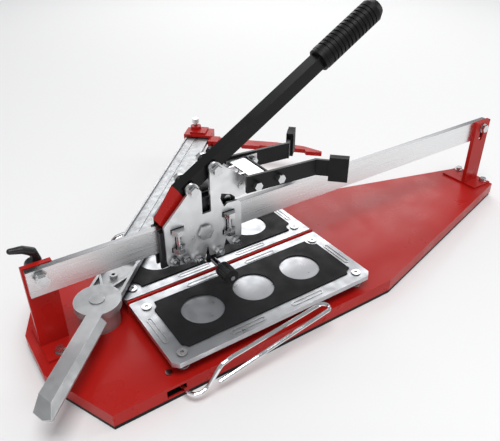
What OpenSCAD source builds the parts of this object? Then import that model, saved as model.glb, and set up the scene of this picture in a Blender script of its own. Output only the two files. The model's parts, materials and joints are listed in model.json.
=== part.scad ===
// Manual tile cutter: one flat guide rail over a wide sheet-steel base, a rocking
// carriage with a long lever and two breaker arms, two sprung tables and a swinging
// angle fence with a sliding stop.
// +X runs along the rail, +Y to the back, +Z up. Origin: centre of the resting face.

/* [Base] */
// Distance from the centre to each end of the base
base_half_len = 472; // [465:1:520]
// Half width of the wide part of the base
base_half_w = 157; // [155:1:190]
// Half width of the two narrow ends
base_end_half_w = 44; // [42:1:50]
// Where the wide part starts on the left
wide_left_x = -422; // [-430:1:-410]
// Where the wide part stops on the right
wide_right_x = 56; // [40:1:90]
// Height of the pan top above the floor
base_h = 27; // [25:1:34]
// Thickness of the rubber mat under the pan
rubber_t = 7; // [4:1:9]
// Sheet thickness of the pan
pan_t = 2.5; // [2:0.5:3]

/* [Rail] */
// Height of the flat rail
rail_h = 40; // [36:1:46]
// Thickness of the flat rail
rail_t = 10; // [8:1:12]
// Length of the rail
rail_len = 914; // [912:1:916]
// Underside of the rail above the floor
rail_bottom_z = 123; // [121:1:130]
// Distance from the centre to each upright's middle
upright_x = 440; // [438:1:442]
// Width of an upright
upright_w = 40; // [36:1:42]
// Depth of an upright from its front face to its back edges
upright_depth = 8; // [7:1:10]
// Sheet thickness of the uprights
upright_t = 4; // [3:0.5:5]

/* [Tables] */
// Length of each table along the rail
table_len = 348; // [330:1:360]
// Width of each table
table_w = 145; // [140:1:146]
// Middle of the tables along the rail
table_x = -157; // [-160:1:-150]
// Gap between the two tables
table_gap = 10; // [9:1:12]
// Top of the table plates above the floor
table_top_z = 52.4; // [51:0.2:53]
// Depth of the folded table rim
table_rim_h = 8; // [6:1:9]
// Thickness of the rubber sheet on a table
table_mat_t = 2; // [1.5:0.5:2.5]
// Travel of the tables against their springs
table_travel = 6; // [4:1:6]
// Diameter of the table guide pins
guide_pin_d = 8; // [7:1:9]

/* [Carriage] */
// Place of the carriage along the rail
carriage_x = -206; // [-230:1:100]
// Diameter of the ball bearings
bearing_d = 32; // [30:1:33]
// Width of the ball bearings
bearing_w = 9; // [7:1:9]
// Diameter of the bearing axles
axle_d = 12; // [10:1:13]
// Thickness of the inner cheeks
cheek_t = 4; // [3:0.5:4]
// Thickness of the outer plates
plate_t = 4; // [3:0.5:5]
// Distance from the middle to the inner face of an outer plate
plate_in_y = 15; // [15:0.5:17]
// Diameter of the pivot studs
stud_d = 14; // [12:1:16]

/* [Lever] */
// Side of the square lever tube
lever_w = 20; // [18:1:20]
// Wall of the lever tube
lever_wall = 2; // [1.5:0.5:3]
// Angle of the lever above the rail
lever_angle = 31; // [29:1:33]
// Length of the tube from the lower bolt to the collar
lever_reach = 274; // [240:1:300]
// Length of the rubber grip
grip_len = 117; // [100:1:130]
// Diameter of the rubber grip
grip_d = 37; // [34:1:40]

/* [Breaker] */
// Distance from the middle to the inner face of a breaker arm
arm_in_y = 33.5; // [33:0.5:37]
// Thickness of the breaker arms
arm_t = 4.5; // [4:0.5:6]
// Height of the breaker arms
arm_h = 27; // [24:1:28]
// Length of the straight part of an arm
arm_len = 130; // [120:1:140]
// Length of the out-turned end of an arm
arm_end_len = 50; // [46:1:54]
// Height of the rubber breaker pads
pad_h = 40; // [36:1:44]

/* [Scoring wheel] */
// Diameter of the scoring wheel
wheel_d = 22; // [18:1:22]
// Thickness of the scoring wheel
wheel_t = 3; // [2:0.5:3]
// Diameter of the wheel pin
wheel_pin_d = 6; // [5:1:7]

/* [Fence] */
// Angle of the fence from the rail in the stored pose
fence_angle = 46.5; // [45:0.5:55]
// Length of the front arm from the pivot
fence_front = 200; // [180:1:210]
// Length of the rear ruler from the pivot
fence_rear = 618; // [600:1:640]
// Width of the rear ruler
ruler_w = 52; // [50:1:54]
// Place of the stop slider along the ruler
stop_at = 598; // [480:1:600]
// Reach of the stop arm from the middle of the ruler
stop_reach = 288; // [240:1:300]

/* [Side rests] */
// Diameter of the side rest wire
wire_d = 6; // [5:1:6]

/* [Hidden] */

$fn = 48;
eps = 0.01;
run_gap = 0.05;        // radial clearance of a turning or sliding fit
safe_gap = 0.3;        // gap between surfaces that roll or slide past each other
m8_d = 8;
m8_head_d = 14;
m8_head_h = 5;

rail_mid_z = rail_bottom_z + rail_h / 2;
rail_top_z = rail_bottom_z + rail_h;
upright_top_z = rail_top_z + 1;
left_front_y = rail_t / 2;
right_front_y = -rail_t / 2 - upright_depth;
left_back_y = left_front_y + upright_depth;
foot_t = 4;
left_foot_bolts = [[0, -18], [0, 44]];
right_foot_bolts = [[20, -28], [20, 34]];
slot_len = 22;
rail_bolt_z = rail_mid_z + 7;
rail_stud_d = 10;

table_mat_z = table_top_z + table_mat_t;
table_mid_y = table_gap / 2 + table_w / 2;
table_sheet_t = 2;
screw_in_x = 19.5;
table_screw_len = 2.4;
screw_outer_y = 134;
screw_inner_y = 25;
disc_r = 32;
scallop_r = 14;
disc_pitch = 88.5;
disc_y = 74;
mat_left = 26;
mat_right = 21;
mat_outer = 21;
mat_inner = 17;
boss_d = 14;
boss_drop = 10;
spring_d = 20;
spring_wire = 2;

cheek_in_y = rail_t / 2 + 0.5;
cheek_out_y = cheek_in_y + cheek_t;
tie_nut_h = 3;
plate_out_y = plate_in_y + plate_t;
roll_r = bearing_d / 2;
upper_z = rail_h / 2 + roll_r;
upper_left_x = -8;
upper_right_x = 46;
lower_left_x = -44;
lower_right_x = 52;
wheel_x = 18;
wheel_z = 78 - rail_mid_z;
guide_x0 = 2;
guide_x1 = 34;
guide_z0 = 96 - rail_mid_z;
guide_z1 = 118 - rail_mid_z;
stem_w = 14;
stem_t = 7;

ear_low = [-16, 73];
ear_span = 44;
ear_high = [ear_low[0] + ear_span * cos(lever_angle), ear_low[1] + ear_span * sin(lever_angle)];
tube_tail = 15;
lever_bolt_d = 8;

bracket_x0 = 70;
bracket_x1 = 126;
bracket_top_z = 73;
bracket_web_x = [74, 100];
bracket_skirt = 17;
arm_bolt_z = 63;
spacer_at = [106, 69];
spacer_d = 6;
bracket_t = 3;
arm_x0 = 62;
arm_mid_z = 66;
arm_bolt_x = [77, 118];
arm_slope = 3.3;
pad_len = 30;
pad_t = 12;

adjuster_x = [-44, 41];
adjuster_top_z = 17;
adjuster_low_z = -13;
adjuster_af = 17;
adjuster_y = cheek_out_y + tie_nut_h + adjuster_af / 2 + 0.4;
stub_pos = [[-53, -30], [-35, -35], [-14, -43], [22, -41], [52, -34]];

fence_pivot = [-370, 12];
fence_z = 57;
fence_t = 12;
ruler_t = 8;
fence_right = 28;
fence_left = 2;
ridge_n = 19;
end_cut = [-179, -11];
post_d = 58;
fence_bolt_d = 12;
stop_len = 42;
stop_screw_at = [10, 8];
arm_root_x = [-38, -8];

rest_pin_x = -333;
rest_pin_y = 134;
rest_pin_d = 6;
rest_slot = [-348, -319];
rest_hub_z = rubber_t + 4;

// ---------- shared shapes ----------

module at_carriage() {
    translate([carriage_x, 0, rail_mid_z])
        children();
}

// An outline drawn in x and z, standing between two y values
module slab_y(y0, y1) {
    translate([0, y1, 0])
        rotate([90, 0, 0])
            linear_extrude(y1 - y0)
                children();
}

module rod_y(x, z, y0, y1, d) {
    translate([x, y1, z])
        rotate([90, 0, 0])
            cylinder(h = y1 - y0, d = d);
}

module hex_y(x, z, y0, y1, af, turn = 0) {
    translate([x, y1, z])
        rotate([90, turn, 0])
            cylinder(h = y1 - y0, d = af / cos(30), $fn = 6);
}

module mirror_y(far) {
    if (far)
        mirror([0, 1, 0]) children();
    else
        children();
}

module oblong(len, w) {
    union() {
        square([len - w, w], center = true);
        for (side = [-1, 1])
            translate([side * (len - w) / 2, 0])
                circle(d = w);
    }
}

module base_outline(inset) {
    polygon([
        [-base_half_len + inset, -base_end_half_w + inset / 2],
        [wide_left_x + inset / 2, -base_half_w + inset],
        [wide_right_x - inset / 8, -base_half_w + inset],
        [base_half_len - inset, -base_end_half_w + inset],
        [base_half_len - inset, base_end_half_w - inset],
        [wide_right_x - inset / 8, base_half_w - inset],
        [wide_left_x + inset / 2, base_half_w - inset],
        [-base_half_len + inset, base_end_half_w - inset / 2]]);
}

// Tube of round section swept through a list of points
function unit(v) = v / norm(v);
function ring_dir(p, i) =
    unit(i == 0 ? p[1] - p[0] : i == len(p) - 1 ? p[i] - p[i - 1] : p[i + 1] - p[i - 1]);
function ring_start(t) = unit(cross(t, abs(t[2]) > 0.9 ? [1, 0, 0] : [0, 0, 1]));
function ring_carry(a, t) = unit(a - (a * t) * t);

module sweep(points, d, sides) {
    n = len(points);
    starts = [for (i = 0, a = ring_start(ring_dir(points, 0)); i < n;
        i = i + 1, a = ring_carry(a, ring_dir(points, min(i, n - 1)))) a];
    verts = [for (i = [0:n - 1])
        let (t = ring_dir(points, i), a = starts[i], b = cross(a, t))
        for (k = [0:sides - 1])
            points[i] + d / 2 * (cos(k * 360 / sides) * a + sin(k * 360 / sides) * b)];
    skin = [for (i = [0:n - 2])
        for (k = [0:sides - 1])
            let (j = (k + 1) % sides)
            [i * sides + k, i * sides + j, (i + 1) * sides + j, (i + 1) * sides + k]];
    first = [for (k = [sides - 1:-1:0]) k];
    last = [for (k = [0:sides - 1]) (n - 1) * sides + k];
    polyhedron(points = verts, faces = concat(skin, [first, last]), convexity = 6);
}

// Points of an arc from a to b degrees in a plane through c spanned by u and v
function arc_points(c, u, v, r, a, b, steps) =
    [for (i = [0:steps]) let (g = a + (b - a) * i / steps) c + r * (cos(g) * u + sin(g) * v)];

// ---------- frame ----------

module base_pan() {
    color("firebrick")
        difference() {
            translate([0, 0, rubber_t])
                linear_extrude(base_h - rubber_t)
                    base_outline(0);
            translate([0, 0, rubber_t - eps])
                linear_extrude(base_h - rubber_t - pan_t + eps)
                    base_outline(pan_t);
            for (side = [-1, 1])
                union() {
                    translate([rest_slot[0], side * base_half_w - 6, rubber_t + 2])
                        cube([rest_slot[1] - rest_slot[0], 12, 13]);
                    translate([rest_pin_x, side * rest_pin_y, base_h - pan_t - 1])
                        cylinder(h = pan_t + 2, d = rest_pin_d);
                }
        }
}

module rubber_mat() {
    color("black")
        linear_extrude(rubber_t)
            base_outline(1);
}

module breaking_ridge() {
    ridge_w = 4;
    ridge_len = table_len;
    strip_w = 12;
    color("red")
        translate([table_x - ridge_len / 2, 0, base_h])
            rotate([90, 0, 90])
                linear_extrude(ridge_len)
                    union() {
                        translate([-strip_w / 2, 0]) square([strip_w, 3]);
                        translate([-ridge_w / 2, 0])
                            square([ridge_w, table_mat_z - base_h - ridge_w / 2]);
                        translate([0, table_mat_z - base_h - ridge_w / 2])
                            circle(d = ridge_w);
                    }
}

// Shallow channel with its web to the front, on a foot bolted to the pan
module upright(front_y, foot_bolts, slotted) {
    web_back_y = front_y + upright_t;
    back_y = front_y + upright_depth;
    stud_hole_d = rail_stud_d + 0.2;
    foot_x0 = -upright_w / 2;
    foot_x1 = max(upright_w / 2, foot_bolts[0][0] + 9);
    foot_y0 = foot_bolts[0][1] - 11;
    foot_y1 = foot_bolts[1][1] + 9;
    difference() {
        union() {
            translate([-upright_w / 2, front_y, base_h])
                cube([upright_w, upright_t, upright_top_z - base_h]);
            for (x = [-upright_w / 2, upright_w / 2 - upright_t])
                translate([x, front_y, base_h])
                    cube([upright_t, upright_depth, upright_top_z - base_h]);
            translate([-upright_w / 2, front_y, upright_top_z - upright_t])
                cube([upright_w, upright_depth, upright_t]);
            translate([foot_x0, foot_y0, base_h])
                cube([foot_x1 - foot_x0, foot_y1 - foot_y0, foot_t]);
        }
        rod_y(0, rail_bolt_z, front_y - 1, web_back_y + 1, stud_hole_d);
        if (slotted) {
            rod_y(0, rail_bolt_z - slot_len, front_y - 1, web_back_y + 1, stud_hole_d);
            translate([-stud_hole_d / 2, front_y - 1, rail_bolt_z - slot_len])
                cube([stud_hole_d, upright_t + 2, slot_len]);
        }
        for (b = foot_bolts)
            translate([b[0], b[1], base_h - 1])
                cylinder(h = foot_t + 2, d = m8_d);
    }
}

module left_upright() {
    color("firebrick")
        translate([-upright_x, 0, 0])
            upright(left_front_y, left_foot_bolts, false);
}

module right_upright() {
    color("firebrick")
        translate([upright_x, 0, 0])
            upright(right_front_y, right_foot_bolts, true);
}

module foot_bolt() {
    cylinder(h = foot_t, d = m8_d);
    translate([0, 0, foot_t]) cylinder(h = 1.2, d = m8_head_d + 2);
    translate([0, 0, foot_t + 1.2]) cylinder(h = m8_head_h, d = m8_head_d, $fn = 6);
}

// Foot bolts of the uprights, and the pins that the two side rests turn on
module frame_bolts() {
    color("silver") {
        for (b = left_foot_bolts)
            translate([b[0] - upright_x, b[1], base_h]) foot_bolt();
        for (b = right_foot_bolts)
            translate([b[0] + upright_x, b[1], base_h]) foot_bolt();
        for (side = [-1, 1])
            translate([rest_pin_x, side * rest_pin_y, 0]) {
                translate([0, 0, rest_hub_z - 3]) cylinder(h = 2, d = 12);
                translate([0, 0, rest_hub_z - 3]) cylinder(h = base_h - rest_hub_z + 3, d = rest_pin_d);
                translate([0, 0, base_h]) cylinder(h = 3, d = 10);
            }
    }
}

module guide_rail() {
    hole_d = rail_stud_d + 0.2;
    color("silver")
        difference() {
            translate([-rail_len / 2, -rail_t / 2, rail_bottom_z])
                cube([rail_len, rail_t, rail_h]);
            for (side = [-1, 1])
                rod_y(side * upright_x, rail_bolt_z, -rail_t, rail_t, hole_d);
        }
}

// Stud through the left end of the rail and its upright, with a hex head in front
module rail_stud() {
    face = rail_t / 2;
    color("silver") {
        hex_y(-upright_x, rail_bolt_z, -face - 13, -face - 6, 16);
        rod_y(-upright_x, rail_bolt_z, -face - 6, -face, 13);
        rod_y(-upright_x, rail_bolt_z, -face - 6, left_back_y + 22, rail_stud_d);
    }
}

// Bolt through the slot of the right upright, with a spacer to the rail
module rail_bolt() {
    face = rail_t / 2;
    color("silver") {
        hex_y(upright_x, rail_bolt_z, right_front_y - 8, right_front_y - 2, 14);
        rod_y(upright_x, rail_bolt_z, right_front_y - 2, right_front_y, 18);
        rod_y(upright_x, rail_bolt_z, right_front_y, face, rail_stud_d);
        difference() {
            rod_y(upright_x, rail_bolt_z, right_front_y + upright_t, -face, 16);
            rod_y(upright_x, rail_bolt_z, right_front_y, 0, rail_stud_d);
        }
        hex_y(upright_x, rail_bolt_z, face, face + 7, 16);
    }
}

// Clamping lever: hub on the stud and a curved arm that rises to the left
module rail_clamp_lever() {
    hub_y = left_back_y + 1;
    hub_d = 22;
    arm_path = [[6, 10, 11], [2, 24, 12], [-9, 31, 11], [-24, 34, 8]];
    color("black")
        translate([-upright_x, 0, rail_bolt_z])
            difference() {
                union() {
                    rod_y(0, 0, hub_y, hub_y + 18, hub_d);
                    for (i = [0:2])
                        hull() {
                            translate([arm_path[i][0], hub_y + 9, arm_path[i][1]])
                                sphere(d = arm_path[i][2], $fn = 32);
                            translate([arm_path[i + 1][0], hub_y + 9, arm_path[i + 1][1]])
                                sphere(d = arm_path[i + 1][2], $fn = 32);
                        }
                    hull() {
                        translate([0, hub_y + 9, 0]) sphere(d = 14, $fn = 32);
                        translate([6, hub_y + 9, 10]) sphere(d = 11, $fn = 32);
                    }
                }
                rod_y(0, 0, hub_y - 1, hub_y + 20, rail_stud_d + 2 * run_gap);
            }
}

// ---------- tables ----------

function screw_places(far) = [for (sx = [-1, 1]) for (y = [screw_inner_y, screw_outer_y])
    [table_x + sx * (table_len / 2 - screw_in_x), (far ? 1 : -1) * y]];

module table_guide_pins() {
    color("silver")
        for (far = [false, true])
            for (p = screw_places(far))
                translate([p[0], p[1], base_h])
                    cylinder(h = table_top_z - table_sheet_t - table_travel - 1 - base_h, d = guide_pin_d);
}

module spring(p) {
    turns = 3.5;
    steps = 56;
    z0 = base_h + spring_wire / 2 + 0.1;
    z1 = table_top_z - table_sheet_t - spring_wire / 2 - 0.1;
    r = (spring_d - spring_wire) / 2;
    sweep([for (i = [0:steps])
        [p[0] + r * cos(i * turns * 360 / steps), p[1] + r * sin(i * turns * 360 / steps),
         z0 + (z1 - z0) * i / steps]], spring_wire, 6);
}

module table_springs_near() {
    color("gray")
        for (p = screw_places(false))
            spring(p);
}

module table_springs_far() {
    color("gray")
        for (p = screw_places(true))
            spring(p);
}

module table_outline(inset) {
    c = 8;
    x1 = table_len / 2 - inset;
    y1 = table_w / 2 - inset;
    polygon([[-x1 + c, -y1], [x1 - c, -y1], [x1, -y1 + c], [x1, y1 - c / 4],
        [x1 - c / 4, y1], [-x1 + c / 4, y1], [-x1, y1 - c / 4], [-x1, -y1 + c]]);
}

// The near table; the far one is its mirror image
module table_plate(far) {
    rib_w = 8;
    rib_len = 58;
    rib_edge = 11;
    rib_inner = 9;
    boss_bottom = table_top_z - table_sheet_t - boss_drop - 4;
    mirror_y(far)
        difference() {
            union() {
                translate([table_x, -table_mid_y, 0]) {
                    translate([0, 0, table_top_z - table_sheet_t])
                        linear_extrude(table_sheet_t)
                            table_outline(0);
                    translate([0, 0, table_top_z - table_rim_h])
                        linear_extrude(table_rim_h - table_sheet_t + eps)
                            difference() {
                                table_outline(0);
                                table_outline(table_sheet_t);
                            }
                    for (sx = [-1, 1]) {
                        translate([sx * (table_len / 2 - rib_edge), 0, table_top_z])
                            linear_extrude(0.8)
                                rotate(90) rib_outline(rib_len, rib_w);
                        for (y = [-table_w / 2 + rib_edge, table_w / 2 - rib_inner])
                            translate([sx * 53, y, table_top_z])
                                linear_extrude(0.8)
                                    rib_outline(rib_len, rib_w);
                    }
                }
                for (p = screw_places(false))
                    translate([p[0], p[1], boss_bottom])
                        cylinder(h = table_top_z - table_sheet_t - boss_bottom + eps, d = boss_d);
            }
            for (p = screw_places(false)) {
                translate([p[0], p[1], boss_bottom - 1])
                    cylinder(h = table_top_z - table_sheet_t - boss_bottom, d = guide_pin_d + 2 * run_gap);
                translate([p[0], p[1], table_top_z - 4])
                    cylinder(h = 6, d = 5);
            }
        }
}

module rib_outline(length, w) {
    difference() {
        oblong(length, w);
        oblong(length - 3, w - 3);
    }
}

module table_mat(far) {
    x0 = -table_len / 2 + mat_left;
    x1 = table_len / 2 - mat_right;
    y_out = -table_w / 2 + mat_outer;
    y_in = table_w / 2 - mat_inner;
    mirror_y(far)
        translate([table_x, -table_mid_y, table_top_z])
            linear_extrude(table_mat_t)
                difference() {
                    translate([x0, y_out]) square([x1 - x0, y_in - y_out]);
                    for (p = screw_places(false))
                        translate([p[0] - table_x, p[1] + table_mid_y])
                            circle(r = scallop_r);
                    for (i = [-1:1])
                        translate([i * disc_pitch, table_mid_y - disc_y])
                            circle(r = disc_r);
                }
}

module table_screws(far) {
    mirror_y(far)
        for (p = screw_places(false))
            translate([p[0], p[1], table_top_z]) {
                translate([0, 0, -table_screw_len])
                    cylinder(h = table_screw_len, d = 5);
                difference() {
                    cylinder(h = 2, d = m8_head_d);
                    translate([0, 0, 0.8])
                        cylinder(h = 2, d = 6, $fn = 6);
                }
            }
}

module table_plate_near() { color("lightgray") table_plate(false); }
module table_plate_far() { color("lightgray") table_plate(true); }
module table_mat_near() { color("dimgray") table_mat(false); }
module table_mat_far() { color("dimgray") table_mat(true); }
module table_screws_near() { color("silver") table_screws(false); }
module table_screws_far() { color("silver") table_screws(true); }

// ---------- trolley on the rail ----------

bearing_places = [[upper_left_x, upper_z], [upper_right_x, upper_z],
    [lower_left_x, -upper_z], [lower_right_x, -upper_z]];

module cheek(far) {
    lobe = 13;
    left = -69;
    right = 68;
    low = -upper_z - 10;
    shoulder = rail_h / 2 - 2;
    mirror_y(far)
        at_carriage()
            difference() {
                union() {
                    slab_y(-cheek_out_y, -cheek_in_y)
                        union() {
                            translate([left, low]) square([right - left, shoulder - low]);
                            translate([upper_left_x, upper_z]) circle(r = lobe);
                            translate([upper_right_x, upper_z]) circle(r = lobe);
                            translate([upper_left_x - lobe, 0])
                                square([upper_right_x - upper_left_x + 2 * lobe, upper_z]);
                            translate([upper_left_x, 0])
                                square([upper_right_x - upper_left_x, upper_z + lobe]);
                        }
                    slab_y(-plate_in_y + 0.5, -cheek_in_y)
                        translate([left, low + 12]) square([6, shoulder - low - 12]);
                }
                for (p = bearing_places)
                    rod_y(p[0], p[1], -cheek_out_y - 1, 0, axle_d);
                for (p = tie_places)
                    rod_y(p[0], p[1], -cheek_out_y - 1, 0, m8_d);
                rod_y(0, 0, -cheek_out_y - 1, 0, stud_d);
            }
}

tie_places = [[19, upper_z + 2], [guide_x0 + 5, guide_z1 - 6], [guide_x1 - 5, guide_z1 - 6]];

module cheek_near() { color("dimgray") cheek(false); }
module cheek_far() { color("dimgray") cheek(true); }

module bearing_axles() {
    color("silver")
        at_carriage()
            for (p = bearing_places)
                rod_y(p[0], p[1], -cheek_out_y, cheek_out_y, axle_d);
}

module cheek_tie_bolts() {
    color("silver")
        at_carriage() {
            for (p = tie_places) {
                rod_y(p[0], p[1], -cheek_out_y, cheek_out_y, m8_d);
                for (side = [-1, 1])
                    hex_y(p[0], p[1], side > 0 ? cheek_out_y : -cheek_out_y - tie_nut_h,
                        side > 0 ? cheek_out_y + tie_nut_h : -cheek_out_y, 13);
            }
            difference() {
                rod_y(tie_places[0][0], tie_places[0][1], -cheek_in_y, cheek_in_y, 12);
                rod_y(tie_places[0][0], tie_places[0][1], -cheek_out_y, cheek_out_y, m8_d);
            }
        }
}

// Block under the rail between the cheeks, with a square way for the wheel holder
module wheel_guide() {
    gap = 0.2;
    color("dimgray")
        at_carriage()
            difference() {
                translate([guide_x0, -cheek_in_y, guide_z0])
                    cube([guide_x1 - guide_x0, 2 * cheek_in_y, guide_z1 - guide_z0]);
                translate([wheel_x - stem_w / 2 - gap, -stem_t / 2 - gap, guide_z0 - 1])
                    cube([stem_w + 2 * gap, stem_t + 2 * gap, guide_z1 - guide_z0 - 2]);
                for (i = [1, 2])
                    rod_y(tie_places[i][0], tie_places[i][1], -cheek_out_y, cheek_out_y, m8_d);
            }
}

module pivot_studs() {
    color("silver")
        at_carriage()
            for (side = [-1, 1])
                rod_y(0, 0, side > 0 ? cheek_in_y : -plate_out_y - 5,
                    side > 0 ? plate_out_y + 5 : -cheek_in_y, stud_d);
}

module pivot_nuts() {
    nut_t = 5;
    color("silver")
        at_carriage()
            for (side = [-1, 1])
                difference() {
                    hex_y(0, 0, side > 0 ? plate_out_y + safe_gap : -plate_out_y - safe_gap - nut_t,
                        side > 0 ? plate_out_y + safe_gap + nut_t : -plate_out_y - safe_gap, 22);
                    rod_y(0, 0, -plate_out_y - 10, plate_out_y + 10, stud_d);
                }
}

module bearing(i) {
    p = bearing_places[i];
    outer_r = roll_r - safe_gap;
    groove_w = 3;
    color("lightgray")
        at_carriage()
            translate([p[0], bearing_w / 2, p[1]])
                rotate([90, 0, 0])
                    difference() {
                        cylinder(h = bearing_w, r = outer_r);
                        translate([0, 0, -1]) cylinder(h = bearing_w + 2, d = axle_d + 2 * run_gap);
                        for (z = [-1, bearing_w - 1])
                            translate([0, 0, z])
                                difference() {
                                    cylinder(h = 2, r = outer_r - groove_w);
                                    translate([0, 0, -1]) cylinder(h = 4, r = axle_d / 2 + groove_w);
                                }
                    }
}

module bearing_upper_left() { bearing(0); }
module bearing_upper_right() { bearing(1); }
module bearing_lower_left() { bearing(2); }
module bearing_lower_right() { bearing(3); }

// ---------- rocker ----------

module plate_outline() {
    polygon([[-64, 28], [-25, 68], [-8, 76], [5, 55], [ear_high[0] - 8.5, ear_high[1] - 2],
        [ear_high[0] + 4, ear_high[1] + 8], [72, 68], [73, 42], [56, 39], [46, 48], [30, 54],
        [28, 46], [34, 30], [40, 35], [58, 34], [64, 28], [64, -28], [58, -38], [44, -40], [36, -26],
        [30, -46], [8, -47], [4, -26], [-1, -47], [-30, -46], [-57, -40], [-62, -37], [-64, -31]]);
}

// Outer plate: two ears for the lever, a slot between them, and H-shaped windows
module plate(far) {
    ear_r = 10;
    slot_x0 = -2.5;
    slot_x1 = 12;
    slot_floor = 30;
    window_w = adjuster_af / cos(30) + 2;
    slit_w = 9.2;
    y0 = -plate_out_y;
    mirror_y(far)
        at_carriage()
            difference() {
                union() {
                    slab_y(y0, -plate_in_y) plate_outline();
                    rod_y(ear_low[0], ear_low[1], y0, -plate_in_y, 2 * ear_r);
                    rod_y(ear_high[0], ear_high[1], y0, -plate_in_y, 2 * ear_r);
                    for (p = stub_pos)
                        rod_y(p[0], p[1], y0, -plate_in_y, 17);
                }
                translate([slot_x0, y0 - 1, slot_floor])
                    cube([slot_x1 - slot_x0, plate_t + 2, 80]);
                for (x = adjuster_x) {
                    translate([x - window_w / 2, y0 - 1, adjuster_top_z - 4])
                        cube([window_w, plate_t + 2, 9]);
                    translate([x - slit_w / 2, y0 - 1, adjuster_low_z])
                        cube([slit_w, plate_t + 2, adjuster_top_z - adjuster_low_z]);
                    translate([x - window_w / 2, y0 - 1, adjuster_low_z - 5])
                        cube([window_w, plate_t + 2, 9]);
                }
                rod_y(0, 0, y0 - 1, 0, stud_d + 2 * run_gap);
                rod_y(ear_low[0], ear_low[1], y0 - 1, 0, lever_bolt_d);
                rod_y(ear_high[0], ear_high[1], y0 - 1, 0, lever_bolt_d);
                rod_y(64, 58, y0 - 1, 0, 6);
                for (p = stub_pos)
                    rod_y(p[0], p[1], y0 - 1, 0, m8_d);
            }
}

module plate_near() { color("lightgray") plate(false); }
module plate_far() { color("lightgray") plate(true); }

// Captive screws in the H-shaped windows: hex head above, nut below
module adjuster_screws() {
    color("silver")
        at_carriage()
            for (side = [-1, 1])
                for (x = adjuster_x)
                    translate([x, side * adjuster_y, 0]) {
                        translate([0, 0, adjuster_top_z - 4])
                            cylinder(h = 8, d = adjuster_af / cos(30), $fn = 6);
                        translate([0, 0, adjuster_low_z])
                            cylinder(h = adjuster_top_z - adjuster_low_z, d = m8_d);
                        translate([0, 0, adjuster_low_z - 4])
                            cylinder(h = 8, d = adjuster_af / cos(30), $fn = 6);
                    }
}

// Short bolts along the lower edge of the outer plates
module plate_bolts() {
    shank_out = 12;
    color("silver")
        at_carriage()
            for (side = [-1, 1])
                for (p = stub_pos) {
                    rod_y(p[0], p[1], side > 0 ? plate_in_y : -plate_out_y - shank_out,
                        side > 0 ? plate_out_y + shank_out : -plate_in_y, m8_d);
                    hex_y(p[0], p[1], side > 0 ? plate_out_y : -plate_out_y - 7,
                        side > 0 ? plate_out_y + 7 : -plate_out_y, 12);
                }
}

module along_lever() {
    at_carriage()
        translate([ear_low[0], 0, ear_low[1]])
            rotate([0, -lever_angle, 0])
                children();
}

module lever_bolts() {
    head = 7;
    color("silver")
        along_lever()
            for (x = [0, ear_span]) {
                rod_y(x, 0, -plate_out_y - 2, plate_out_y + 9, lever_bolt_d);
                hex_y(x, 0, -plate_out_y - 2 - head, -plate_out_y - 1.5, 13);
                hex_y(x, 0, plate_out_y + 1.5, plate_out_y + 8, 13);
                for (side = [-1, 1]) {
                    rod_y(x, 0, side > 0 ? plate_out_y : -plate_out_y - 1.5,
                        side > 0 ? plate_out_y + 1.5 : -plate_out_y, 17);
                    difference() {
                        rod_y(x, 0, side > 0 ? lever_w / 2 : -plate_in_y, side > 0 ? plate_in_y : -lever_w / 2, 15);
                        rod_y(x, 0, -plate_out_y, plate_out_y, lever_bolt_d);
                    }
                }
            }
}

module lever_tube() {
    tube_len = tube_tail + lever_reach + grip_len - 12;
    color("black")
        along_lever()
            difference() {
                translate([-tube_tail, -lever_w / 2, -lever_w / 2])
                    cube([tube_len, lever_w, lever_w]);
                translate([-tube_tail - 1, -lever_w / 2 + lever_wall, -lever_w / 2 + lever_wall])
                    cube([tube_len + 2, lever_w - 2 * lever_wall, lever_w - 2 * lever_wall]);
                for (x = [0, ear_span])
                    rod_y(x, 0, -lever_w, lever_w, lever_bolt_d);
            }
}

// Red tail that continues the lever down between the plates
module lever_end_block() {
    tongue = lever_w - 2 * lever_wall;
    color("red") {
        at_carriage()
            slab_y(-lever_w / 2, lever_w / 2)
                polygon([[-66, 29], [-62, 25], [-50, 25], tail_low, tail_high]);
        along_lever()
            translate([-tube_tail - 1, -tongue / 2, -tongue / 2])
                cube([8, tongue, tongue]);
    }
}

tail_low = [ear_low[0] - tube_tail * cos(lever_angle) + lever_w / 2 * sin(lever_angle),
    ear_low[1] - tube_tail * sin(lever_angle) - lever_w / 2 * cos(lever_angle)];
tail_high = [ear_low[0] - tube_tail * cos(lever_angle) - lever_w / 2 * sin(lever_angle),
    ear_low[1] - tube_tail * sin(lever_angle) + lever_w / 2 * cos(lever_angle)];

module lever_collar() {
    color("black")
        along_lever()
            difference() {
                translate([lever_reach - 6, 0, 0])
                    rotate([0, 90, 0])
                        cylinder(h = 6, d = grip_d - 1);
                translate([lever_reach - 8, -lever_w / 2, -lever_w / 2])
                    cube([10, lever_w, lever_w]);
            }
}

// Hollow rubber grip with finger rings and a rounded end
module lever_grip() {
    ribs = 12;
    pitch = (grip_len - 28) / ribs;
    color("black")
        along_lever()
            translate([lever_reach, 0, 0])
                rotate([0, 90, 0])
                    difference() {
                        union() {
                            cylinder(h = grip_len - 10, d = grip_d - 3);
                            cylinder(h = 8, d = grip_d);
                            for (i = [0:ribs - 1])
                                translate([0, 0, 11 + i * pitch])
                                    cylinder(h = pitch * 0.62, d = grip_d);
                            translate([0, 0, grip_len - 18]) cylinder(h = 8, d = grip_d);
                            translate([0, 0, grip_len - 10])
                                cylinder(h = 10, d1 = grip_d, d2 = grip_d - 10);
                        }
                        translate([-lever_w / 2, -lever_w / 2, -1])
                            cube([lever_w, lever_w, grip_len - 11]);
                    }
}

// ---------- breaker ----------

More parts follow.
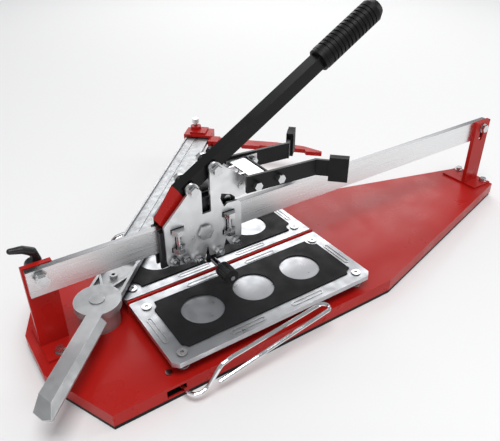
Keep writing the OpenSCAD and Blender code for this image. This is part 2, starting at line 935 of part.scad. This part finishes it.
module breaker_bracket() {
    web_z = bracket_top_z - bracket_t;
    tab_y = plate_in_y - bracket_t;
    color("lightgray")
        at_carriage()
            difference() {
                union() {
                    translate([bracket_web_x[0], -arm_in_y, web_z])
                        cube([bracket_web_x[1] - bracket_web_x[0], 2 * arm_in_y, bracket_t]);
                    for (side = [-1, 1]) {
                        translate([bracket_x0, side > 0 ? arm_in_y - bracket_t : -arm_in_y, web_z - bracket_skirt])
                            cube([bracket_x1 - bracket_x0, bracket_t, bracket_skirt + bracket_t]);
                        translate([54, side > 0 ? tab_y : -plate_in_y, web_z - bracket_skirt])
                            cube([bracket_web_x[1] - 54, bracket_t, bracket_skirt + bracket_t]);
                    }
                }
                for (x = arm_bolt_x)
                    rod_y(x, arm_bolt_z, -arm_in_y - 1, arm_in_y + 1, m8_d);
                rod_y(spacer_at[0], spacer_at[1], -arm_in_y - 1, arm_in_y + 1, spacer_d);
                rod_y(64, 58, -plate_out_y, plate_out_y, 6);
            }
}

module breaker_arm(far) {
    drop = tan(arm_slope) * arm_len;
    mirror_y(far)
        at_carriage()
            difference() {
                union() {
                    slab_y(-arm_in_y - arm_t, -arm_in_y)
                        polygon([[arm_x0, arm_mid_z - arm_h / 2], [arm_x0 + arm_len, arm_mid_z - arm_h / 2 - drop],
                            [arm_x0 + arm_len, arm_mid_z + arm_h / 2 - drop], [arm_x0, arm_mid_z + arm_h / 2]]);
                    translate([arm_x0 + arm_len, -arm_in_y, arm_mid_z - arm_h / 2 - drop])
                        rotate([0, 0, -45])
                            translate([-arm_t * tan(22.5), -arm_t, 0])
                                cube([arm_end_len, arm_t, arm_h]);
                }
                for (x = arm_bolt_x)
                    rod_y(x, arm_bolt_z, -arm_in_y - arm_t - 1, 0, m8_d);
            }
}

module breaker_arm_near() { color("black") breaker_arm(false); }
module breaker_arm_far() { color("black") breaker_arm(true); }

// Rubber block pushed over the out-turned end of an arm
module breaker_pad(far) {
    drop = tan(arm_slope) * arm_len;
    slot = arm_end_len - arm_t * tan(22.5);
    mirror_y(far)
        at_carriage()
            translate([arm_x0 + arm_len, -arm_in_y, arm_mid_z - drop])
                rotate([0, 0, -45])
                    difference() {
                        translate([slot - pad_len + 3, -arm_t / 2 - pad_t / 2, -pad_h / 2])
                            cube([pad_len, pad_t, pad_h]);
                        translate([0, -arm_t, -arm_h / 2])
                            cube([slot, arm_t, arm_h]);
                    }
}

module breaker_pad_near() { color("black") breaker_pad(false); }
module breaker_pad_far() { color("black") breaker_pad(true); }

module breaker_bolts() {
    out_y = arm_in_y + arm_t;
    color("silver")
        at_carriage() {
            for (side = [-1, 1])
                for (x = arm_bolt_x) {
                    rod_y(x, arm_bolt_z, side > 0 ? arm_in_y - bracket_t - 7 : -out_y - 2,
                        side > 0 ? out_y + 2 : -arm_in_y + bracket_t + 7, m8_d);
                    hex_y(x, arm_bolt_z, side > 0 ? out_y : -out_y - 9, side > 0 ? out_y + 9 : -out_y, 12);
                    hex_y(x, arm_bolt_z, side > 0 ? arm_in_y - bracket_t - 6 : -arm_in_y + bracket_t,
                        side > 0 ? arm_in_y - bracket_t : -arm_in_y + bracket_t + 6, 11);
                }
            for (side = [-1, 1]) {
                rod_y(64, 58, side > 0 ? plate_in_y - bracket_t : -plate_out_y,
                    side > 0 ? plate_out_y : -plate_in_y + bracket_t, 6);
                rod_y(64, 58, side > 0 ? plate_out_y : -plate_out_y - 3, side > 0 ? plate_out_y + 3 : -plate_out_y, 11);
            }
        }
}

module breaker_spacer() {
    color("dimgray")
        at_carriage()
            rod_y(spacer_at[0], spacer_at[1], -arm_in_y, arm_in_y, spacer_d);
}

// ---------- scoring wheel ----------

// Square stem that slides in the guide block, forked at the bottom around the wheel
module wheel_holder() {
    fork_top = guide_z0 - 6;
    fork_low = wheel_z - 6;
    stem_top = guide_z1 - 10;
    fork_y = 10;
    color("dimgray")
        at_carriage()
            difference() {
                union() {
                    translate([wheel_x - stem_w / 2, -stem_t / 2, fork_low + 4])
                        cube([stem_w, stem_t, stem_top - fork_low - 4]);
                    translate([wheel_x - 8, -fork_y / 2, fork_low])
                        cube([16, fork_y, fork_top - fork_low]);
                }
                translate([wheel_x - wheel_d, -wheel_t / 2 - safe_gap, fork_low - 1])
                    cube([2 * wheel_d, wheel_t + 2 * safe_gap, wheel_z + wheel_d / 2 + 1 - fork_low + 1]);
                rod_y(wheel_x, wheel_z, -fork_y, fork_y, wheel_pin_d + 2 * run_gap);
            }
}

module wheel_pin() {
    color("silver")
        at_carriage() {
            rod_y(wheel_x, wheel_z, -28, 5, wheel_pin_d);
            rod_y(wheel_x, wheel_z, -33, -5 - safe_gap, 10);
            rod_y(wheel_x, wheel_z, -66, -62, 7);
        }
}

module wheel_knob() {
    knob_d = 24;
    flutes = 18;
    color("black")
        at_carriage()
            translate([wheel_x, 0, wheel_z])
                difference() {
                    union() {
                        rod_y(0, 0, -62, -36, knob_d);
                        rod_y(0, 0, -36, -33, 16);
                    }
                    for (i = [0:flutes - 1])
                        rotate([0, i * 360 / flutes, 0])
                            rod_y(knob_d / 2 + 0.6, 0, -60, -40, 3);
                }
}

module scoring_wheel() {
    color("silver")
        at_carriage()
            translate([wheel_x, 0, wheel_z])
                rotate([90, 0, 0])
                    rotate_extrude()
                        polygon([[wheel_pin_d / 2 + run_gap, -wheel_t / 2], [wheel_d / 2 - 2, -wheel_t / 2],
                            [wheel_d / 2, 0], [wheel_d / 2 - 2, wheel_t / 2], [wheel_pin_d / 2 + run_gap, wheel_t / 2]]);
}

// ---------- fence ----------

module at_fence() {
    translate([fence_pivot[0], fence_pivot[1], 0])
        rotate([0, 0, fence_angle])
            children();
}

module fence_post() {
    color("gray")
        translate([fence_pivot[0], fence_pivot[1], base_h])
            union() {
                cylinder(h = fence_z - base_h, d = post_d);
                cylinder(h = fence_z - base_h + fence_t, d = fence_bolt_d);
            }
}

module fence_arm() {
    head_r = 34;
    rib_end = 100;
    floor_t = 4;
    boss_at = [62, 0];
    color("lightgray")
        at_fence()
            difference() {
                union() {
                    // front arm with a bevelled scale edge
                    translate([-head_r - 1, 0, fence_z])
                        rotate([90, 0, -90])
                            linear_extrude(fence_front - head_r - 1)
                                polygon([[-fence_left, 0], [-fence_left, fence_t], [ridge_n, fence_t],
                                    [fence_right - 1, 3], [fence_right - 1, 0]]);
                    translate([-head_r - 3, -ridge_n, fence_z])
                        cube([head_r + 3, ridge_n + fence_left, fence_t]);
                    translate([0, 0, fence_z]) cylinder(h = fence_t, r = head_r);
                    // ribbed casting towards the ruler
                    translate([0, -fence_right, fence_z]) cube([rib_end, ruler_w, floor_t]);
                    for (y = [-fence_right, ruler_w - fence_right - 4])
                        translate([0, y, fence_z])
                            cube([rib_end, 4, fence_t - 2]);
                    for (g = [28, -28])
                        translate([20, 0, fence_z])
                            rotate([0, 0, g])
                                translate([0, -1.5, 0])
                                    cube([52, 3, fence_t - 3]);
                    translate([boss_at[0], boss_at[1], fence_z]) cylinder(h = fence_t - 2, d = 12);
                }
                translate([0, 0, fence_z - 1]) cylinder(h = fence_t + 2, d = fence_bolt_d + 2 * run_gap);
                translate([boss_at[0], boss_at[1], fence_z - 1]) cylinder(h = fence_t + 2, d = 6);
                translate([end_cut[0], end_cut[1], fence_z + fence_t])
                    rotate([0, 0, 152])
                        rotate([0, 35, 0])
                            translate([-20, -40, 0]) cube([80, 80, 40]);
            }
}

// Flat ruler screwed behind the casting, with engraved ticks
module fence_ruler() {
    x0 = 100;
    left_edge = ruler_w - fence_right;
    lip = 3;
    tick_pitch = 10;
    ticks = floor((fence_rear - x0 - 20) / tick_pitch);
    color("lightgray")
        at_fence()
            difference() {
                union() {
                    translate([x0, -fence_right, fence_z]) cube([fence_rear - x0, ruler_w, ruler_t]);
                    translate([x0, left_edge - lip, fence_z]) cube([fence_rear - x0, lip, ruler_t + 3]);
                }
                translate([x0 - 1, -5, fence_z + ruler_t - 1.2]) cube([fence_rear - x0 + 2, 8, 3]);
                for (i = [0:ticks])
                    translate([x0 + 10 + i * tick_pitch, left_edge - lip - (i % 5 == 0 ? 12 : 7), fence_z + ruler_t - 0.4])
                        cube([0.8, i % 5 == 0 ? 10 : 5, 1]);
            }
}

// Low round cap over the pivot
module fence_bolt() {
    color("lightgray")
        translate([fence_pivot[0], fence_pivot[1], fence_z + fence_t])
            cylinder(h = 1.5, d = 22);
}

module at_stop() {
    at_fence()
        translate([stop_at, 0, fence_z])
            children();
}

module stop_slider() {
    wall = 5;
    side_gap = 0.3;
    left_edge = ruler_w - fence_right;
    top = ruler_t + 3 + side_gap;
    color("red")
        at_stop()
            difference() {
                union() {
                    translate([-stop_len / 2, -fence_right - wall, -wall])
                        cube([stop_len, ruler_w + 2 * wall, top + 2 * wall]);
                    translate([-stop_len / 2 + 6, -20, top])
                        cube([stop_len - 8, 36, wall + 4]);
                    translate([stop_screw_at[0], stop_screw_at[1], top]) cylinder(h = wall + 10, d = 24);
                    translate([arm_root_x[0], -fence_right - wall - 20, -wall])
                        cube([arm_root_x[1] - arm_root_x[0], 22, 16]);
                }
                translate([-stop_len / 2 - 1, -fence_right - side_gap, -side_gap])
                    cube([stop_len + 2, ruler_w + 2 * side_gap, top + side_gap]);
                translate([stop_screw_at[0], stop_screw_at[1], -1]) cylinder(h = 40, d = 8 + 2 * run_gap);
            }
}

// Long arm at a right angle to the ruler, stepped and tapering to its tip
module stop_arm() {
    y0 = -fence_right - 25;
    color("red")
        at_stop()
            linear_extrude(9)
                polygon([[arm_root_x[0], y0], [arm_root_x[1], y0], [-12, -80], [-13, -185], [-24, -stop_reach + 40],
                    [-44, -stop_reach], [-50, -stop_reach], [-50, -stop_reach + 34], [-40, -stop_reach + 38],
                    [-36, -150], [-40, -148], [-40, -110], [-34, -106]]);
}

module stop_screw() {
    head_z = 34;
    color("silver")
        at_stop()
            translate([stop_screw_at[0], stop_screw_at[1], 0]) {
                translate([0, 0, ruler_t + 0.6]) cylinder(h = head_z - ruler_t, d = 8);
                difference() {
                    translate([0, 0, head_z]) cylinder(h = 10, d = 15);
                    for (i = [0:11])
                        rotate([0, 0, i * 30])
                            translate([8.1, 0, head_z - 1]) cylinder(h = 12, d = 2.6);
                }
            }
}

// Small lock knob on a rod in front of the slider
module stop_knob() {
    reach = 50;
    color("gray")
        at_stop()
            translate([-stop_len / 2 - reach, -fence_right - 12, 2])
                rotate([0, 90, 0]) {
                    cylinder(h = 13, d = 13);
                    cylinder(h = reach + arm_root_x[0] + stop_len / 2, d = 6);
                }
}

// ---------- side rests ----------

// Chrome wire: out of the slot in the flange, along it, up, and back in a long hairpin
rest_out_y = 178;
rest_top_z = 51.5;
rest_route = concat(
    [[rest_pin_x + 2, -rest_pin_y - 5, 15], [-324, -157, 15], [-323, -168, 15], [-318, -175, 15.5],
     [-310, -rest_out_y, 16], [-302, -rest_out_y, 19], [-298, -rest_out_y, 22], [-281, -rest_out_y, 45],
     [-276, -rest_out_y + 0.5, 49], [-268, -rest_out_y + 1, rest_top_z - 1], [-260, -rest_out_y + 2, rest_top_z]],
    arc_points([-98, -168.5, rest_top_z], [0.1, 1, 0], [1, -0.1, 0], 8.5, 0, 180, 10),
    [[-104, -177, rest_top_z - 1], [-282, -rest_out_y, 19.5]]);

module side_rest() {
    color("silver") {
        difference() {
            union() {
                sweep(rest_route, wire_d, 10);
                translate([rest_pin_x, -rest_pin_y, rest_hub_z]) cylinder(h = 8, d = 16);
            }
            translate([rest_pin_x, -rest_pin_y, rubber_t])
                cylinder(h = 20, d = rest_pin_d + 2 * run_gap);
        }
    }
}

module side_rest_front() { side_rest(); }
module side_rest_back() { mirror([0, 1, 0]) side_rest(); }

// ---------- drawing ----------

base_pan();
rubber_mat();
breaking_ridge();
left_upright();
right_upright();
frame_bolts();
guide_rail();
rail_stud();
rail_bolt();
rail_clamp_lever();
table_guide_pins();
table_springs_near();
table_springs_far();
table_plate_near();
table_mat_near();
table_screws_near();
table_plate_far();
table_mat_far();
table_screws_far();
cheek_near();
cheek_far();
bearing_axles();
cheek_tie_bolts();
wheel_guide();
pivot_studs();
pivot_nuts();
bearing_upper_left();
bearing_upper_right();
bearing_lower_left();
bearing_lower_right();
plate_near();
plate_far();
adjuster_screws();
plate_bolts();
lever_bolts();
lever_tube();
lever_end_block();
lever_collar();
lever_grip();
breaker_bracket();
breaker_arm_near();
breaker_arm_far();
breaker_pad_near();
breaker_pad_far();
breaker_bolts();
breaker_spacer();
wheel_holder();
wheel_pin();
wheel_knob();
scoring_wheel();
fence_post();
fence_arm();
fence_ruler();
fence_bolt();
stop_slider();
stop_arm();
stop_screw();
stop_knob();
side_rest_front();
side_rest_back();
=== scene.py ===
"""Looks, light and camera for a manual tile cutter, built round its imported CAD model. Metres throughout."""

import json
import math

import bpy
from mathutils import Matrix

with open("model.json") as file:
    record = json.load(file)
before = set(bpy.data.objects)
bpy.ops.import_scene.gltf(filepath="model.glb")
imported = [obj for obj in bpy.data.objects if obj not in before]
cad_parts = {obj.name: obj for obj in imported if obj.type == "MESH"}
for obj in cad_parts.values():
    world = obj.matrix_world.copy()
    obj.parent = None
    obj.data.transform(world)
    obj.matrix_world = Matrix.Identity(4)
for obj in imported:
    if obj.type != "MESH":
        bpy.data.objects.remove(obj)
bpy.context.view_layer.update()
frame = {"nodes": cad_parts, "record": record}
nodes = frame["nodes"]

# ---------- camera, light and floor ----------

SENSOR_MM = 36.0
CAMERA_PLACE = (-0.5351, -0.6278, 0.5991)
CAMERA_TURN = 33.88   # degrees from +Y towards +X
CAMERA_DIP = 32.42    # degrees below the horizon
CAMERA_LENS = 40.58   # millimetres
CAMERA_NEAR = 0.01

STUDIO_CENTRE = (0.0, 0.0, 0.1)
# Name, place, width, height, watts
LIGHTS = [
    ("key_light", (-0.6, -0.8, 2.6), 1.4, 1.1, 42),
    ("side_light", (2.4, -0.8, 1.2), 0.9, 1.5, 12),
    ("back_light", (1.4, 2.1, 1.7), 2.6, 1.6, 34),
    ("front_strip", (-1.4, -2.5, 0.7), 2.4, 0.4, 9),
]
SKY_COLOUR = (0.97, 0.98, 1.0, 1)
SKY_STRENGTH = 0.34
FLOOR_REACH = 6.0
FLOOR_DROP = 0.0002   # keeps the floor just under the rubber sheet


def make_camera():
    data = bpy.data.cameras.new("camera")
    data.sensor_width = SENSOR_MM
    data.lens = CAMERA_LENS
    data.clip_start = CAMERA_NEAR
    camera = bpy.data.objects.new("camera", data)
    camera.location = CAMERA_PLACE
    camera.rotation_euler = (math.radians(90 - CAMERA_DIP), 0, math.radians(-CAMERA_TURN))
    bpy.context.collection.objects.link(camera)
    bpy.context.scene.camera = camera


def make_area_light(name, place, width, height, watts):
    """A rectangular light turned towards the middle of the studio."""
    data = bpy.data.lights.new(name, "AREA")
    data.shape = "RECTANGLE"
    data.size = width
    data.size_y = height
    data.energy = watts
    lamp = bpy.data.objects.new(name, data)
    lamp.location = place
    offset = [t - p for t, p in zip(STUDIO_CENTRE, place)]
    flat = math.hypot(offset[0], offset[1])
    lamp.rotation_euler = (math.atan2(flat, -offset[2]), 0, math.atan2(-offset[0], offset[1]))
    bpy.context.collection.objects.link(lamp)


def make_studio():
    """Lights, a pale sky and the floor; gives the floor back for its material."""
    for light in LIGHTS:
        make_area_light(*light)
    world = bpy.data.worlds.new("studio")
    world.use_nodes = True
    sky = world.node_tree.nodes["Background"]
    sky.inputs["Color"].default_value = SKY_COLOUR
    sky.inputs["Strength"].default_value = SKY_STRENGTH
    bpy.context.scene.world = world
    bpy.context.scene.view_settings.view_transform = "Standard"
    mesh = bpy.data.meshes.new("floor")
    corners = [(-1, -1), (1, -1), (1, 1), (-1, 1)]
    mesh.from_pydata([(x * FLOOR_REACH, y * FLOOR_REACH, -FLOOR_DROP) for x, y in corners],
                     [], [(0, 1, 2, 3)])
    floor = bpy.data.objects.new("floor", mesh)
    bpy.context.collection.objects.link(floor)
    return floor


# ---------- material building blocks ----------

# Sockets of a colour mix node, which share their names with its other types
MIX_FIRST, MIX_SECOND, MIX_RESULT = 6, 7, 2
# How far the rounded normal leans from the flat one on a full edge
EDGE_LEAN = 0.12
# Noise level at which a finish is at its roughest
ROUGHEST = 0.7


class Finish:
    """A Principled material with object-space helpers for patterns, wear and relief."""

    def __init__(self, name, colour, metallic, roughness):
        self.material = bpy.data.materials.new(name)
        self.material.use_nodes = True
        self.tree = self.material.node_tree
        self.shader = self.tree.nodes["Principled BSDF"]
        self.shader.inputs["Base Color"].default_value = (*colour, 1)
        self.shader.inputs["Metallic"].default_value = metallic
        self.shader.inputs["Roughness"].default_value = roughness
        self.colour = colour
        self.roughness = roughness
        self.place = self.add("ShaderNodeTexCoord").outputs["Object"]
        self.relief = None

    def add(self, kind, **settings):
        node = self.tree.nodes.new(kind)
        for key, value in settings.items():
            setattr(node, key, value)
        return node

    def link(self, source, target):
        self.tree.links.new(source, target)

    def stretched(self, scale):
        """Object coordinates scaled per axis, so that a pattern runs in one direction."""
        mapping = self.add("ShaderNodeMapping")
        mapping.inputs["Scale"].default_value = scale
        self.link(self.place, mapping.inputs["Vector"])
        return mapping.outputs["Vector"]

    def noise(self, scale, detail, where=None):
        node = self.add("ShaderNodeTexNoise")
        node.inputs["Scale"].default_value = scale
        node.inputs["Detail"].default_value = detail
        self.link(where if where else self.place, node.inputs["Vector"])
        return node.outputs["Fac"]

    def cells(self, scale):
        node = self.add("ShaderNodeTexVoronoi")
        node.inputs["Scale"].default_value = scale
        self.link(self.place, node.inputs["Vector"])
        return node.outputs["Distance"]

    def ranged(self, value, low_in, high_in, low_out, high_out):
        node = self.add("ShaderNodeMapRange")
        node.inputs["From Min"].default_value = low_in
        node.inputs["From Max"].default_value = high_in
        node.inputs["To Min"].default_value = low_out
        node.inputs["To Max"].default_value = high_out
        self.link(value, node.inputs["Value"])
        return node.outputs["Result"]

    def product(self, a, b):
        node = self.add("ShaderNodeMath", operation="MULTIPLY")
        self.link(a, node.inputs[0])
        self.link(b, node.inputs[1])
        return node.outputs["Value"]

    def edges(self, radius):
        """1 on outside edges and 0 on flat faces, from how far the rounded normal leans."""
        bevel = self.add("ShaderNodeBevel", samples=4)
        bevel.inputs["Radius"].default_value = radius
        shape = self.add("ShaderNodeNewGeometry")
        dot = self.add("ShaderNodeVectorMath", operation="DOT_PRODUCT")
        self.link(bevel.outputs["Normal"], dot.inputs[0])
        self.link(shape.outputs["Normal"], dot.inputs[1])
        return self.ranged(dot.outputs["Value"], 1.0, 1.0 - EDGE_LEAN, 0.0, 1.0)

    def painted_crevice_shade(self, reach, strength):
        """Painted shade: up to strength in corners and under neighbours, and 0 in the open."""
        node = self.add("ShaderNodeAmbientOcclusion", samples=6)
        node.inputs["Distance"].default_value = reach
        return self.ranged(node.outputs["AO"], 0.35, 0.9, strength, 0.0)

    def tint(self, amount, colour):
        """Mixes a colour over what the base has, by amount."""
        base = self.shader.inputs["Base Color"]
        mix = self.add("ShaderNodeMix", data_type="RGBA")
        if base.links:
            self.link(base.links[0].from_socket, mix.inputs[MIX_FIRST])
        else:
            mix.inputs[MIX_FIRST].default_value = (*self.colour, 1)
        mix.inputs[MIX_SECOND].default_value = (*colour, 1)
        self.link(amount, mix.inputs[0])
        self.link(mix.outputs[MIX_RESULT], base)

    def patches(self, scale, detail, start, stop, strength):
        """Cloudy patches from 0 to strength, where the noise lies between start and stop."""
        return self.ranged(self.noise(scale, detail), start, stop, 0.0, strength)

    def rough(self, value):
        self.link(value, self.shader.inputs["Roughness"])

    def uneven_gloss(self, scale, detail, low_in, less, more):
        """Roughness that wanders round its own value, by less below and more above it."""
        self.rough(self.ranged(self.noise(scale, detail), low_in, ROUGHEST,
                               self.roughness - less, self.roughness + more))

    def bump(self, height, distance, strength):
        node = self.add("ShaderNodeBump")
        node.inputs["Distance"].default_value = distance
        node.inputs["Strength"].default_value = strength
        self.link(height, node.inputs["Height"])
        if self.relief:
            self.link(self.relief, node.inputs["Normal"])
        self.relief = node.outputs["Normal"]
        self.link(self.relief, self.shader.inputs["Normal"])


# ---------- finishes ----------

def painted_steel(name, colour, chip, roughness=0.3):
    """Powder coat: slight orange peel, uneven tone, rubbed edges."""
    f = Finish(name, colour, 0.0, roughness)
    f.shader.inputs["Coat Weight"].default_value = 0.05
    f.shader.inputs["Coat Roughness"].default_value = 0.2
    f.shader.inputs["Specular IOR Level"].default_value = 0.2
    cloud = f.patches(7, 4, 0.35, 0.7, 0.35)
    f.tint(cloud, tuple(c * 0.72 for c in colour))
    rub = f.product(f.edges(0.0008), f.patches(45, 5, 0.42, 0.62, 0.6))
    f.tint(rub, chip)
    f.uneven_gloss(22, 5, 0.3, 0.07, 0.12)
    f.bump(f.noise(420, 2), 0.00006, 0.5)
    return f.material


def brushed_metal(name, colour, roughness=0.28):
    """Metal with fine lines that run along the rail and a faint cloudy tarnish."""
    f = Finish(name, colour, 1.0, roughness)
    lines = f.noise(1, 4, f.stretched(ALONG_X))
    f.tint(f.patches(14, 5, 0.35, 0.7, 0.25), tuple(c * 0.62 for c in colour))
    f.rough(f.ranged(lines, 0.25, 0.75, roughness - 0.08, roughness + 0.1))
    f.bump(lines, 0.00004, 0.35)
    return f.material


def zinc_plated(name, colour, roughness):
    """Bright zinc: soft cloudy patches, painted shade in corners and gaps, and lighter rubbed edges."""
    f = Finish(name, colour, 1.0, roughness)
    f.tint(f.patches(30, 4, 0.35, 0.75, 0.14), tuple(c * 0.7 for c in colour))
    # painted shade: darkens the zinc in corners and under neighbouring parts
    f.tint(f.painted_crevice_shade(0.008, 0.85), tuple(c * 0.12 for c in colour))
    f.tint(f.edges(0.0006), (0.95, 0.95, 0.95))
    f.uneven_gloss(60, 6, 0.3, 0.08, 0.14)
    f.bump(f.noise(500, 3), 0.00003, 0.4)
    return f.material


def cast_metal(name, colour, roughness):
    """Sand-cast and shot-blasted: fine pits, painted shade in corners and gaps, and a dull, uneven skin."""
    f = Finish(name, colour, 0.85, roughness)
    f.tint(f.patches(20, 6, 0.35, 0.7, 0.3), tuple(c * 0.65 for c in colour))
    # painted shade: darkens the casting in corners and under neighbouring parts
    f.tint(f.painted_crevice_shade(0.012, 0.6), tuple(c * 0.25 for c in colour))
    f.tint(f.edges(0.0008), tuple(min(1, c * 1.7) for c in colour))
    f.uneven_gloss(90, 5, 0.3, 0.1, 0.12)
    f.bump(f.noise(700, 4), 0.00018, 0.6)
    return f.material


def rubber(name, colour, grain=900, depth=0.00012, roughness=0.62):
    """Moulded rubber: fine grain, dusty patches and worn edges."""
    f = Finish(name, colour, 0.0, roughness)
    f.shader.inputs["Specular IOR Level"].default_value = 0.2
    f.tint(f.patches(18, 6, 0.45, 0.75, 0.35), tuple(c + 0.015 for c in colour))
    f.tint(f.product(f.edges(0.0008), f.patches(80, 3, 0.4, 0.6, 0.5)),
           tuple(c + 0.05 for c in colour))
    f.uneven_gloss(40, 5, 0.3, 0.1, 0.15)
    f.bump(f.cells(grain), depth, 0.5)
    return f.material


def plastic(name, colour, roughness=0.32):
    """Moulded plastic with a faint matt grain."""
    f = Finish(name, colour, 0.0, roughness)
    f.tint(f.patches(30, 4, 0.4, 0.7, 0.3), tuple(c + 0.02 for c in colour))
    f.uneven_gloss(60, 4, 0.3, 0.08, 0.12)
    f.bump(f.noise(900, 2), 0.00004, 0.5)
    return f.material


def polished_bar(name, colour):
    """Ground bar: long faint grinding lines, satin faces and a painted dark reflection along the top."""
    f = Finish(name, colour, 1.0, 0.3)
    lines = f.noise(1, 5, f.stretched((9, 500, 900)))
    f.rough(f.ranged(lines, 0.3, 0.7, 0.24, 0.36))
    f.tint(f.ranged(f.noise(1, 4, f.stretched((5, 40, 60))), 0.4, 0.75, 0.0, 0.12), (0.5, 0.5, 0.52))
    # painted dark reflection: upward-facing faces are darkened to stand in for what the polished top reflects
    upward = f.add("ShaderNodeSeparateXYZ")
    f.link(f.add("ShaderNodeNewGeometry").outputs["Normal"], upward.inputs["Vector"])
    f.tint(f.ranged(upward.outputs["Z"], 0.6, 0.9, 0.0, 0.85), (0.16, 0.16, 0.17))
    f.bump(lines, 0.00002, 0.25)
    return f.material


def chrome_wire(name):
    """Bright chrome with a few duller patches."""
    f = Finish(name, (0.86, 0.87, 0.88), 1.0, 0.08)
    f.rough(f.ranged(f.noise(60, 5), 0.35, 0.7, 0.05, 0.2))
    f.tint(f.patches(35, 4, 0.5, 0.75, 0.25), (0.5, 0.5, 0.5))
    return f.material


def matt_floor(name):
    """Plain pale floor without a sheen."""
    f = Finish(name, (0.9, 0.9, 0.9), 0.0, 0.85)
    f.shader.inputs["Specular IOR Level"].default_value = 0.1
    return f.material


RED = (0.43, 0.011, 0.008)
ALONG_X = (30, 1400, 1400)   # pattern scale per axis, drawn out along the rail
EDGE_WIDTH = 0.0005
EDGE_ANGLE = 35              # degrees; flatter edges stay sharp

finishes = {
    "red_paint": painted_steel("red_powder_coat", RED, (0.22, 0.03, 0.025)),
    "black_rubber": rubber("base_rubber", (0.008, 0.008, 0.008)),
    "bright_steel": zinc_plated("bright_fasteners", (0.66, 0.67, 0.68), 0.16),
    "polished_rail": polished_bar("ground_rail", (0.82, 0.825, 0.83)),
    "black_plastic": plastic("black_knob", (0.006, 0.006, 0.006)),
    "spring_steel": brushed_metal("spring_wire", (0.42, 0.42, 0.44)),
    "table_sheet": zinc_plated("table_sheet", (0.50, 0.51, 0.53), 0.34),
    "table_rubber": rubber("table_rubber", (0.009, 0.009, 0.010), 700, 0.0001, 0.55),
    "dark_steel": brushed_metal("blackened_steel", (0.05, 0.05, 0.055), 0.4),
    "bearing_steel": brushed_metal("bearing_ring", (0.66, 0.66, 0.68), 0.2),
    "zinc_plate": zinc_plated("zinc_plate", (0.86, 0.87, 0.88), 0.34),
    "black_paint": painted_steel("black_paint", (0.005, 0.005, 0.0055), (0.05, 0.05, 0.05), 0.3),
    "grip_rubber": rubber("grip_rubber", (0.006, 0.006, 0.006), 1200, 0.00008, 0.42),
    "pad_rubber": rubber("pad_rubber", (0.008, 0.008, 0.008), 800, 0.00012, 0.5),
    "wheel_steel": brushed_metal("wheel_steel", (0.75, 0.74, 0.70), 0.18),
    "cast_fence": cast_metal("cast_fence", (0.50, 0.51, 0.52), 0.48),
    "ruler_metal": cast_metal("ruler_metal", (0.44, 0.45, 0.46), 0.42),
    "chrome_wire": chrome_wire("chrome_wire"),
}


def dress_cad_nodes():
    """Every CAD node takes the finish of its own slot, and gets softly broken edges."""
    slots = {part["node"]: part["material_slot"] for part in frame["record"]["subparts"]}
    for name, piece in nodes.items():
        piece.data.materials.clear()
        piece.data.materials.append(finishes[slots[name]])
        edge = piece.modifiers.new("edge", "BEVEL")
        edge.width = EDGE_WIDTH
        edge.segments = 2
        edge.limit_method = "ANGLE"
        edge.angle_limit = math.radians(EDGE_ANGLE)


make_camera()
floor = make_studio()
floor.data.materials.append(matt_floor("studio_floor"))
dress_cad_nodes()
